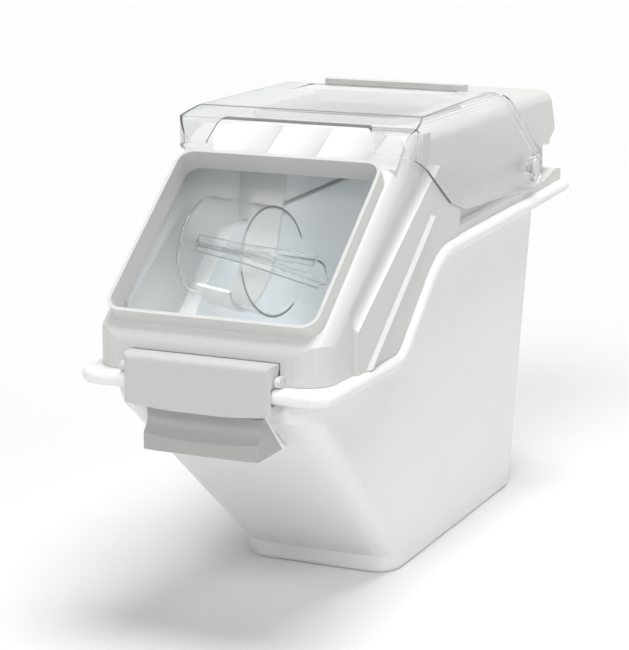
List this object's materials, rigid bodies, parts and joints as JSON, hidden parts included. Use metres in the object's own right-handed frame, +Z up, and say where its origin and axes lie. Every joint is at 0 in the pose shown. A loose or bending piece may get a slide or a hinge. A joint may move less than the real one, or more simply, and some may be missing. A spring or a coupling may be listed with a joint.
{
  "type": "ingredient bin",
  "caption": "Narrow drafted bin with a rolled rim, a lift-off hood with sloping clear window, a clear flip lid on side pivots, a front catch and a clear scoop inside.",
  "frame": {"origin": "middle of the bin's plan at floor level: centre of the bounding box's bottom face", "axes": "+X to the right as seen from the front, +Y from the front catch to the rear, +Z up"},
  "size_m": [0.226, 0.62, 0.4165],
  "materials": {
    "tub": "satin white plastic",
    "hood": "satin white plastic",
    "catch": "satin white plastic",
    "pin": "pale grey plastic",
    "window_pane": "clear",
    "flip_lid": "clear",
    "scoop": "clear"
  },
  "bodies": {
    "bin": {"tub": "tub", "hood": "hood", "window_pane": "window_pane", "pivot_pin_right": "pin", "pivot_pin_left": "pin", "catch_pin_right": "pin", "catch_pin_left": "pin", "scoop_hook": "hood"},
    "lid": {"flip_lid": "flip_lid", "lid_rail": "hood"},
    "catch": {"front_catch": "catch"},
    "scoop": {"scoop": "scoop"}
  },
  "joints": [
    {"name": "lid_flip", "type": "hinge", "parent": "bin", "child": "lid", "pos_m": [0, 0.184, 0.332], "axis": [-1, 0, 0], "range_deg": [0, 95]},
    {"name": "catch_rock", "type": "hinge", "parent": "bin", "child": "catch", "pos_m": [0, -0.2995, 0.2262], "axis": [-1, 0, 0], "range_deg": [0, 18]},
    {"name": "scoop_lift", "type": "slide", "parent": "bin", "child": "scoop", "axis": [0.9903, 0, -0.1392], "range_m": [0, 0.05]}
  ]
}
